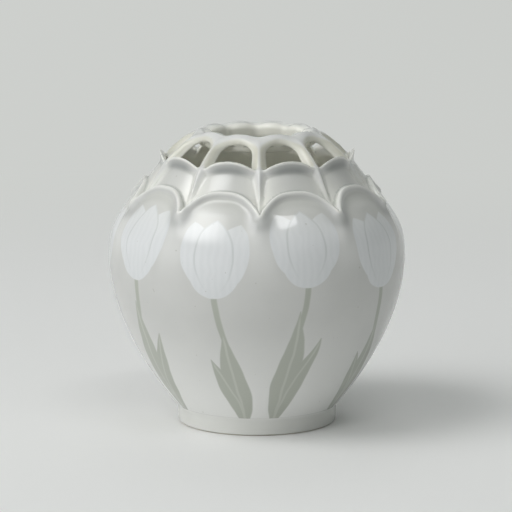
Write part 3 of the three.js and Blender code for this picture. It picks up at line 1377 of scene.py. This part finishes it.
@dataclass
class Effects:
    """The effects that the finishes share, each made once. Sizes here are in millimetres."""

    skin: Skin
    edge: float = 0.5
    edge_start: float = 0.1
    crease: float = 0.2
    crease_start: float = 0.02
    lip_edge: Pair = (0.05, 0.6)
    reveal_edge: Pair = (0.0, 0.8)
    # Painted light: the grey underglaze is lifted towards the foot, on the ribs and at the mouth.
    wash_and_foot_light_rise: Pair = (10.0, 72.0)
    rib_edge: Pair = (0.2, 1.0)
    rib_rise: Pair = (82.0, 100.0)
    rib_highlight_strength: float = 0.5
    mouth_light_rise: Pair = (138.0, 147.0)
    mouth_light_strength: float = 0.8
    cloud_size: float = 25.0
    speck_size: float = 1.6
    speck_edge: Pair = (0.8, 0.86)
    ripple_size: float = 5.0
    wave_stretch: float = 4.0
    wave_share: float = 0.75

    def __post_init__(self) -> None:
        """Make every effect."""
        self.cover_and_light = self.make_cover_and_light()
        self.mottle = self.make_mottle()
        self.ripple = self.make_ripple()
        self.decor = Decor(self.skin).make()

    def make_cover_and_light(self) -> Effect:
        """Say where glaze is thin, pooled or grey-washed, and where light and shade are painted.

        Returns:
            The effect.
        """
        names = ["Thin", "Pooled And Shaded", "Inner", "Wash And Light", "Lip", "Shade", "Reveal"]
        effect = Effect("glaze_and_painted_light", {"Edge": self.edge, "Crease": self.crease}, names)
        x, y, height = effect.place()
        # Painted highlight on the ribs; painted light towards the foot and at the mouth.
        rib_highlight = (x.math("ARCTAN2", -y) * self.skin.petals).math("COSINE").ease(*self.rib_edge)
        rib_highlight = rib_highlight * height.ease(*self.rib_rise)
        wash_and_light = height.ease(*self.wash_and_foot_light_rise) * (1.0 - rib_highlight * self.rib_highlight_strength)
        bulge = effect.attribute("bulge")
        effect.give("Thin", bulge.ease(self.edge_start, effect.given("Edge")))
        # Glaze pooled in creases, darkened further there as painted shade.
        effect.give("Pooled And Shaded", (-bulge).ease(self.crease_start, effect.given("Crease")))
        # Painted light: the inside is coloured paler than the outside.
        effect.give("Inner", effect.attribute("deep"))
        effect.give("Wash And Light", wash_and_light * (1.0 - height.ease(*self.mouth_light_rise) * self.mouth_light_strength))
        # Painted highlight: a pale band along each free lip.
        effect.give("Lip", effect.attribute("lip").ease(*self.lip_edge))
        effect.give("Shade", effect.attribute("shade"))
        # Painted shade in the window openings, partly a yellowish tint of the glaze.
        effect.give("Reveal", effect.attribute("reveal").ease(*self.reveal_edge))
        return effect

    def make_mottle(self) -> Effect:
        """Vary a finish softly, with a few fine specks.

        Returns:
            The effect.
        """
        sizes = {"Cloud Size": self.cloud_size, "Speck Size": self.speck_size}
        effect = Effect("mottle", sizes, ["Cloud", "Speck"])
        specks = effect.noise(effect.given("Speck Size"), detail=0.0, seed=5.0)
        effect.give("Cloud", effect.noise(effect.given("Cloud Size"), detail=3.0, seed=2.0))
        effect.give("Speck", specks.ease(*self.speck_edge))
        return effect

    def make_ripple(self) -> Effect:
        """Raise and lower a surface a little, as fired glaze does.

        Returns:
            The effect.
        """
        sizes = {"Size": self.ripple_size, "Wave Share": self.wave_share}
        effect = Effect("ripple", sizes, ["Height"])
        size, share = effect.given("Size"), effect.given("Wave Share")
        wave = effect.noise(size * self.wave_stretch, detail=0.0, seed=1.0)
        peel = effect.noise(size, seed=7.0)
        effect.give("Height", wave * share + peel * (1.0 - share))
        return effect


class Painter:
    """A material under construction, on the one shader that it has."""

    def __init__(self, name: str) -> None:
        """Open the material.

        Args:
            name: its name.
        """
        self.material = bpy.data.materials.new(name)
        self.material.use_nodes = True
        self.tree = self.material.node_tree
        self.shader = self.tree.nodes["Principled BSDF"]

    @staticmethod
    def fill(node: bpy.types.Node, values: "dict[str, Wire | float | Colour]") -> None:
        """Set or link sockets of a node, named in lower case.

        Args:
            node: the node.
            values: what goes into its sockets, by their names.
        """
        for label, value in values.items():
            title = label.replace("_", " ").title().replace("Ior", "IOR")
            Wire.plug(node.inputs[title], value)

    def use(self, effect: Effect, **values: float) -> dict[str, Wire]:
        """Place an effect in the material.

        Args:
            effect: the effect.
            values: what its inputs are set to.

        Returns:
            What it puts out, by name.
        """
        node = self.tree.nodes.new("ShaderNodeGroup")
        node.node_tree = effect.tree
        self.fill(node, values)
        return {socket.name: Wire(socket) for socket in node.outputs}

    def set(self, **values: "Wire | float | Colour") -> None:
        """Set or link sockets of the shader, named in lower case."""
        self.fill(self.shader, values)

    def bump(self, height: Wire, distance: float) -> None:
        """Raise the surface by a height.

        Args:
            height: the height, from 0 to 1.
            distance: how far a height of 1 stands out.
        """
        node = self.tree.nodes.new("ShaderNodeBump")
        self.fill(node, {"height": height, "distance": distance})
        self.tree.links.new(node.outputs["Normal"], self.shader.inputs["Normal"])


@dataclass(frozen=True)
class Coat:
    """A colour that lies over others where a mask says, and how much of it shows there."""

    mask: str
    colour: Colour
    strength: float = 1.0


@dataclass(frozen=True)
class Glaze:
    """Clear gloss glaze over pale porcelain, with or without the painted decor."""

    # The body colour shows where the grey underglaze is lifted, as painted light.
    body: Colour = (0.812, 0.816, 0.80)
    washed: Colour = (0.625, 0.628, 0.612)
    clouded: Colour = (0.60, 0.604, 0.588)
    cloud_edge: Pair = (0.35, 0.7)
    coats: tuple[Coat, ...] = (
        Coat("Leaf", (0.43, 0.45, 0.395), 0.92),
        Coat("Vein", (0.53, 0.55, 0.50)),
        Coat("Blossom", (0.77, 0.785, 0.80), 0.95),
        Coat("Streak", (0.695, 0.715, 0.725)),
        Coat("Line", (0.50, 0.53, 0.52), 0.4),
        Coat("Speck", (0.33, 0.32, 0.27), 0.35),
        Coat("Shade", (0.28, 0.292, 0.285), 0.8),
        # Painted highlight along the free lips.
        Coat("Lip", (0.85, 0.85, 0.815), 0.85),
        # Window reveals: painted shade, partly a yellowish tint of the glaze.
        Coat("Reveal", (0.66, 0.65, 0.54), 0.8),
        # Painted light: the inside is coloured a paler, creamy white.
        Coat("Inner", (0.98, 0.975, 0.90)),
        # Pooled glaze in creases, with painted shade there.
        Coat("Pooled And Shaded", (0.42, 0.44, 0.41), 0.5),
        Coat("Thin", (0.86, 0.85, 0.79), 0.7),
    )
    gloss: float = 0.035
    gloss_spread: float = 0.045
    gloss_cloud_size: float = 9.0
    bending: float = 1.5
    ripple_height: float = 0.05 * MM

    def colour(self, painter: Painter, effects: Effects, painted: bool) -> Wire:
        """Lay the glaze's colours, and its painted light and shade, over each other.

        Args:
            painter: the material.
            effects: the shared effects.
            painted: whether the decor lies under the glaze.

        Returns:
            The colour that shows.
        """
        masks = painter.use(effects.cover_and_light) | painter.use(effects.mottle)
        if painted:
            masks |= painter.use(effects.decor)
        shown = masks["Cloud"].ease(*self.cloud_edge).over(self.washed, self.clouded)
        # Painted light: the paler body shows through the grey towards the foot, on ribs and at the
        # mouth.
        shown = masks["Wash And Light"].over(self.body, shown)
        for coat in self.coats:
            if coat.mask in masks:
                shown = (masks[coat.mask] * coat.strength).over(shown, coat.colour)
        return shown

    def material(self, name: str, effects: Effects, painted: bool = False) -> bpy.types.Material:
        """Make the glaze.

        Args:
            name: the material's name.
            effects: the shared effects.
            painted: whether the decor lies under the glaze.

        Returns:
            The material.
        """
        painter = Painter(name)
        cloud = painter.use(effects.mottle, cloud_size=self.gloss_cloud_size)["Cloud"]
        painter.set(
            base_color=self.colour(painter, effects, painted),
            roughness=cloud * self.gloss_spread + self.gloss,
            ior=self.bending,
        )
        painter.bump(painter.use(effects.ripple)["Height"], self.ripple_height)
        return painter.material


@dataclass(frozen=True)
class FootClay:
    """The foot ring's finish: glazed on its side, ground bare and matt where it rests.

    Heights, radii and sizes are in millimetres, apart from the ripple's height in metres.
    """

    glazed: Colour = (0.74, 0.745, 0.715)
    joint: Colour = (0.80, 0.805, 0.785)
    bare: Colour = (0.55, 0.51, 0.43)
    grain: Colour = (0.42, 0.38, 0.31)
    bare_height: float = 0.5
    bare_blur: float = 0.15
    bare_inside: Pair = (37.5, 36.5)
    waver: float = 0.8
    waver_size: float = 7.0
    joint_rise: Pair = (7.0, 10.0)
    grain_size: float = 3.0
    glazed_roughness: float = 0.1
    bare_roughness: float = 0.75
    ripple_size: float = 1.5
    ripple_height: float = 0.05 * MM

    def edge(self) -> Effect:
        """Say where the clay is bare, and where the glaze is paler at the joint with the wall.

        Returns:
            The effect.
        """
        sizes = {"Height": self.bare_height, "Waver": self.waver}
        effect = Effect("bare_edge", sizes, ["Bare", "Joint"])
        x, y, z = effect.place()
        wave = effect.noise(self.waver_size, detail=2.0, seed=4.0) - 0.5
        above = z - (wave * effect.given("Waver") + effect.given("Height"))
        inside = x.hypot(y).ease(*self.bare_inside)
        effect.give("Bare", above.ease(self.bare_blur, -self.bare_blur).most(inside))
        effect.give("Joint", z.ease(*self.joint_rise))
        return effect

    def material(self, name: str, effects: Effects) -> bpy.types.Material:
        """Make the finish.

        Args:
            name: the material's name.
            effects: the shared effects.

        Returns:
            The material.
        """
        painter = Painter(name)
        edges = painter.use(self.edge())
        bare = edges["Bare"]
        cloud = painter.use(effects.mottle, cloud_size=self.grain_size)["Cloud"]
        glazed = edges["Joint"].over(self.glazed, self.joint)
        painter.set(
            base_color=bare.over(glazed, cloud.over(self.bare, self.grain)),
            roughness=bare * (self.bare_roughness - self.glazed_roughness) + self.glazed_roughness,
        )
        ripple = painter.use(effects.ripple, size=self.ripple_size)["Height"]
        painter.bump(ripple * bare, self.ripple_height)
        return painter.material


@dataclass(frozen=True)
class Finish:
    """A material, and the slot of the part that it stands for."""

    material: bpy.types.Material
    slot: Slot

    def dress(self, made: bpy.types.Object, node: str) -> bpy.types.Object:
        """Put the finish on a piece, and let it ride on the frame in place of a node.

        Args:
            made: the piece.
            node: the node that it replaces.

        Returns:
            The piece.
        """
        made.data.materials.append(self.material)
        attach(made, ROOT)
        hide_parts(node)
        return made


@dataclass
class Body:
    """The glazed clay parts above the foot: the belly wall, the mouth collar, ribs and scales."""

    skin: Skin

    def nodes(self) -> list[str]:
        """Return the nodes that the parts replace, in the order of the parts' numbers."""
        crown = product(("rib", "scale"), range(1, self.skin.petals + 1))
        return ["belly_wall", "mouth_collar", *(f"{kind}_{number:02d}" for kind, number in crown)]

    def build(self, glaze: Finish, painted: Finish) -> list[bpy.types.Object]:
        """Build the parts and dress them.

        Args:
            glaze: the plain glaze.
            painted: the glaze over the belly's decor.

        Returns:
            The pieces.
        """
        surface = Mesher(self.skin).build()
        pieces = []
        for label, node in enumerate(self.nodes(), start=1):
            made = Maker.from_surface(surface, label, f"glazed_{node}")
            finish = painted if label == Clay.BELLY else glaze
            pieces.append(finish.dress(made, node))
        return pieces


@dataclass
class Foot:
    """The turned foot: the ring that the vase rests on, and the floor inside the wall."""

    sides: int = 160
    radius: float = 40.3 * MM
    ring_width: float = 5.4 * MM
    taper: float = 1.2 * MM
    edge: float = 1.2 * MM
    flare: float = 0.2 * MM
    fillet: float = 4.8 * MM
    fillet_drop: float = 2.45 * MM
    overlap: float = 0.2 * MM
    hub: float = 0.5 * MM
    floor_sink: float = 1.5 * MM
    floor_edge: float = 3 * MM

    def turned(self, name: str, profile: list[Pair]) -> bpy.types.Object:
        """Turn a closed profile about the vase's axis.

        Args:
            name: the piece's name.
            profile: radii and heights, in order round the section.

        Returns:
            The piece.
        """
        radius, height = np.array(profile).T
        turns = np.linspace(0.0, 2 * math.pi, self.sides, endpoint=False)
        rings = [
            np.stack([radius * math.sin(t), -radius * math.cos(t), height], axis=1) for t in turns
        ]
        size = len(profile)
        first = np.arange(size)
        second = (first + 1) % size
        faces = []
        for side in range(self.sides):
            here, there = side * size, (side + 1) % self.sides * size
            corners = [here + first, there + first, there + second, here + second]
            faces.append(np.stack(corners, axis=1))
        return Maker.piece(name, np.vstack(rings), np.vstack(faces))

    @staticmethod
    def arc(centre: Pair, radius: float, start: float, end: float, steps: int = 6) -> list[Pair]:
        """Return points of an arc, from one angle to another in degrees.

        Args:
            centre: its centre.
            radius: its radius.
            start: the first angle.
            end: the last angle.
            steps: how many sides it has.

        Returns:
            The points.
        """
        x, y = centre
        angles = np.radians(np.linspace(start, end, steps + 1))
        return [(x + radius * math.cos(a), y + radius * math.sin(a)) for a in angles]

    def ring(self) -> bpy.types.Object:
        """Make the foot ring, with a fillet of glaze up to the wall.

        Returns:
            The piece.
        """
        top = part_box("foot_ring")[1].z
        outer, inner = self.radius, self.radius - self.ring_width
        fillet = (outer + self.flare + self.fillet, top - self.fillet_drop)
        profile = [
            (inner + self.taper + self.edge / 2, 0.0),
            *self.arc((outer - self.edge, self.edge), self.edge, -90, 0),
            (outer + self.flare, top / 2),
            *reversed(self.arc(fillet, self.fillet, 135, 180)),
            (outer, top + self.overlap),
            (inner, top),
            (inner, top / 2),
            (inner + self.taper, self.edge / 2),
        ]
        return self.turned("turned_foot_ring", profile)

    def floor(self) -> bpy.types.Object:
        """Make the vase's floor, dished towards the wall and sunk into it at its edge.

        Returns:
            The piece.
        """
        low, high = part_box("floor_disc")
        reach = high.x + self.floor_sink
        dish = (reach - self.floor_edge * 2, high.z + self.floor_edge)
        profile = [
            (self.hub, low.z),
            (reach - self.floor_edge, low.z),
            (reach, high.z - self.edge),
            (reach - self.edge, high.z),
            *reversed(self.arc(dish, self.floor_edge, 270, 300)),
            (self.hub, high.z),
        ]
        return self.turned("turned_floor", profile)

    def build(self, clay: Finish, glaze: Finish) -> list[bpy.types.Object]:
        """Build the ring and the floor and dress them.

        Args:
            clay: the ring's finish.
            glaze: the floor's glaze.

        Returns:
            The pieces.
        """
        ring, floor = self.ring(), self.floor()
        # The floor is inside, so it takes the inside's paler painted colour.
        Maker.attribute(floor, "deep", np.ones(len(floor.data.vertices)))
        return [clay.dress(ring, "foot_ring"), glaze.dress(floor, "floor_disc")]


@dataclass(frozen=True)
class Lamp:
    """A rectangular lamp that looks at the vase.

    Its turn is in degrees from the front to the right, its rise in degrees above the horizon, its
    size in metres and its power in watts. A soft lamp fades towards its edges. A lamp that isn't
    mirrored lights the glaze but isn't seen in it.
    """

    name: str
    turn: float
    rise: float
    size: Pair
    power: float
    soft: bool = True
    mirrored: bool = True
    fade_edge: Pair = (1.0, 0.15)
    fade_gain: float = 2.4

    def hang(self, focus: Vector, distance: float) -> None:
        """Hang the lamp.

        Args:
            focus: the place that it looks at.
            distance: how far from there it hangs.
        """
        data = bpy.data.lights.new(self.name, "AREA")
        data.shape = "RECTANGLE"
        data.size, data.size_y = self.size
        data.energy = self.power
        if self.soft:
            self.fade(data)
        turn, rise = math.radians(self.turn), math.radians(self.rise)
        level = math.cos(rise)
        way = Vector((math.sin(turn) * level, -math.cos(turn) * level, math.sin(rise)))
        made = Maker.link(self.name, data)
        made.location = focus + way * distance
        made.rotation_mode = "QUATERNION"
        made.rotation_quaternion = (-way).to_track_quat("-Z", "Y")
        made.visible_glossy = self.mirrored

    def fade(self, data: bpy.types.Light) -> None:
        """Let the lamp fade from its middle to its edges, as a scrim does.

        Args:
            data: the lamp's own settings.
        """
        data.use_nodes = True
        tree = data.node_tree
        parts = Wire.split(tree, "ShaderNodeNewGeometry", "Parametric")
        across, along = (part * 2.0 - 1.0 for part in parts[:2])
        strength = across.hypot(along).ease(*self.fade_edge) * self.fade_gain
        Wire.plug(tree.nodes["Emission"].inputs["Strength"], strength)


@dataclass
class Studio:
    """The plain stage, its soft light and the camera."""

    camera_distance: float = 1.4585
    camera_height: float = 0.3367
    camera_turn: float = math.radians(1.3)
    camera_pitch: float = math.radians(9.809)
    camera_yaw: float = math.radians(0.0211)
    lens: float = 204.31
    sensor: float = 36.0
    sight: Pair = (0.05, 20.0)
    focus: Vector = field(default_factory=lambda: Vector((0.0, 0.0, 0.09)))
    lamp_distance: float = 3.4
    lamps: tuple[Lamp, ...] = (
        Lamp("scrim", -66, 52, (3.6, 2.6), 66.0),
        Lamp("side_fill", -51, 7, (4.8, 2.0), 50.0, mirrored=False),
        Lamp("back_fill", 180, 50, (3.4, 2.4), 12.0, mirrored=False),
        Lamp("window_lamp", 20, 60, (1.7, 0.32), 10.0, soft=False),
    )
    backdrop: Colour = (0.605, 0.62, 0.60)
    backdrop_light_slope: float = -0.045
    ambient: Colour = (0.046, 0.049, 0.047)
    overhead: Colour = (0.385, 0.405, 0.395)
    mirrored_rise: Pair = (0.0, 0.45)
    floor: Colour = (0.92, 0.92, 0.912)
    floor_roughness: float = 0.7
    floor_shine: float = 0.2
    floor_reach: float = 8.0
    floor_back: float = 12.0
    floor_edge: Pair = (0.3, 0.9)

    def camera(self) -> None:
        """Stand the camera where the photograph was taken from."""
        data = bpy.data.cameras.new("camera")
        data.lens = self.lens
        data.sensor_width = self.sensor
        data.clip_start, data.clip_end = self.sight
        made = Maker.link("camera", data)
        place = Vector((0.0, -self.camera_distance, self.camera_height))
        stand = Matrix.Rotation(-self.camera_turn, 4, "Z") @ Matrix.Translation(place)
        tilt = Matrix.Rotation(math.pi / 2 - self.camera_pitch, 4, "X")
        made.matrix_world = stand @ Matrix.Rotation(self.camera_yaw, 4, "Z") @ tilt
        bpy.context.scene.camera = made

    @staticmethod
    def seen(tree: bpy.types.NodeTree, *kinds: str) -> Wire:
        """Return 1 for what is met by a ray of one of these kinds.

        Args:
            tree: the node tree that works it out.
            kinds: the kinds of ray.

        Returns:
            The number, which is otherwise 0.
        """
        path = tree.nodes.new("ShaderNodeLightPath")
        first, *others = (Wire(path.outputs[f"Is {kind} Ray"]) for kind in kinds)
        for other in others:
            first = first.most(other)
        return first

    def stage(self) -> None:
        """Lay the floor, which fades into a glowing backdrop away from the vase."""
        side, back = self.floor_reach, self.floor_back
        corners = np.array([(-side, -side, 0), (side, -side, 0), (side, back, 0), (-side, back, 0)])
        made = Maker.piece("stage_floor", corners, np.array([[0, 1, 2, 3]]))
        painter = Painter("stage_floor")
        painter.set(
            base_color=self.floor,
            roughness=self.floor_roughness,
            specular_ior_level=self.floor_shine,
        )
        tree = painter.tree
        x, y, _ = Wire.split(tree, "ShaderNodeTexCoord", "Object")
        glow = tree.nodes.new("ShaderNodeEmission")
        Wire.plug(glow.inputs["Color"], self.backdrop)
        # Painted light: the backdrop glows a little brighter to the left, where the lamps hang.
        Wire.plug(glow.inputs["Strength"], x * self.backdrop_light_slope + 1.0)
        away = x.hypot(y).ease(*self.floor_edge)
        joined = tree.nodes.new("ShaderNodeMixShader")
        Wire.plug(joined.inputs[0], away * self.seen(tree, "Camera", "Glossy", "Transmission"))
        tree.links.new(painter.shader.outputs[0], joined.inputs[1])
        tree.links.new(glow.outputs[0], joined.inputs[2])
        tree.links.new(joined.outputs[0], tree.nodes["Material Output"].inputs["Surface"])
        made.data.materials.append(painter.material)
        made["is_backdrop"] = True

    def world(self) -> None:
        """Light the room dimly, more from above, and show the backdrop's colour past the floor."""
        made = bpy.data.worlds.new("room")
        made.use_nodes = True
        tree = made.node_tree
        rise = Wire.split(tree, "ShaderNodeTexCoord", "Generated")[2]
        room = rise.ease(0.0, 1.0).over(self.ambient, self.overhead)
        mirrored = self.seen(tree, "Glossy") * (1.0 - rise.ease(*self.mirrored_rise))
        shown = self.seen(tree, "Camera").most(mirrored).over(room, self.backdrop)
        Wire.plug(tree.nodes["Background"].inputs["Color"], shown)
        bpy.context.scene.world = made

    def build(self) -> None:
        """Set the floor, the light and the camera."""
        bpy.context.scene.view_settings.view_transform = "Standard"
        self.camera()
        self.world()
        self.stage()
        for lamp in self.lamps:
            lamp.hang(self.focus, self.lamp_distance)


def main() -> None:
    """Build the vase and its studio."""
    logging.basicConfig(level=logging.INFO, format="%(message)s")
    low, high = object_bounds()
    foot_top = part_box("foot_ring")[1].z
    skin = Skin(height=high.z, belly_radius=(high.x - low.x) / 2, foot_height=foot_top)
    effects = Effects(skin)
    glaze = Finish(Glaze().material("glaze", effects), Slot.GLAZE)
    painted = Finish(Glaze().material("painted_glaze", effects, painted=True), Slot.GLAZE)
    clay = Finish(FootClay().material("foot_clay", effects), Slot.BARE_CLAY)
    for made in Body(skin).build(glaze, painted) + Foot().build(clay, glaze):
        LOG.info("%s: %d faces", made.name, len(made.data.polygons))
    Studio().build()


if __name__ == "__main__":
    main()
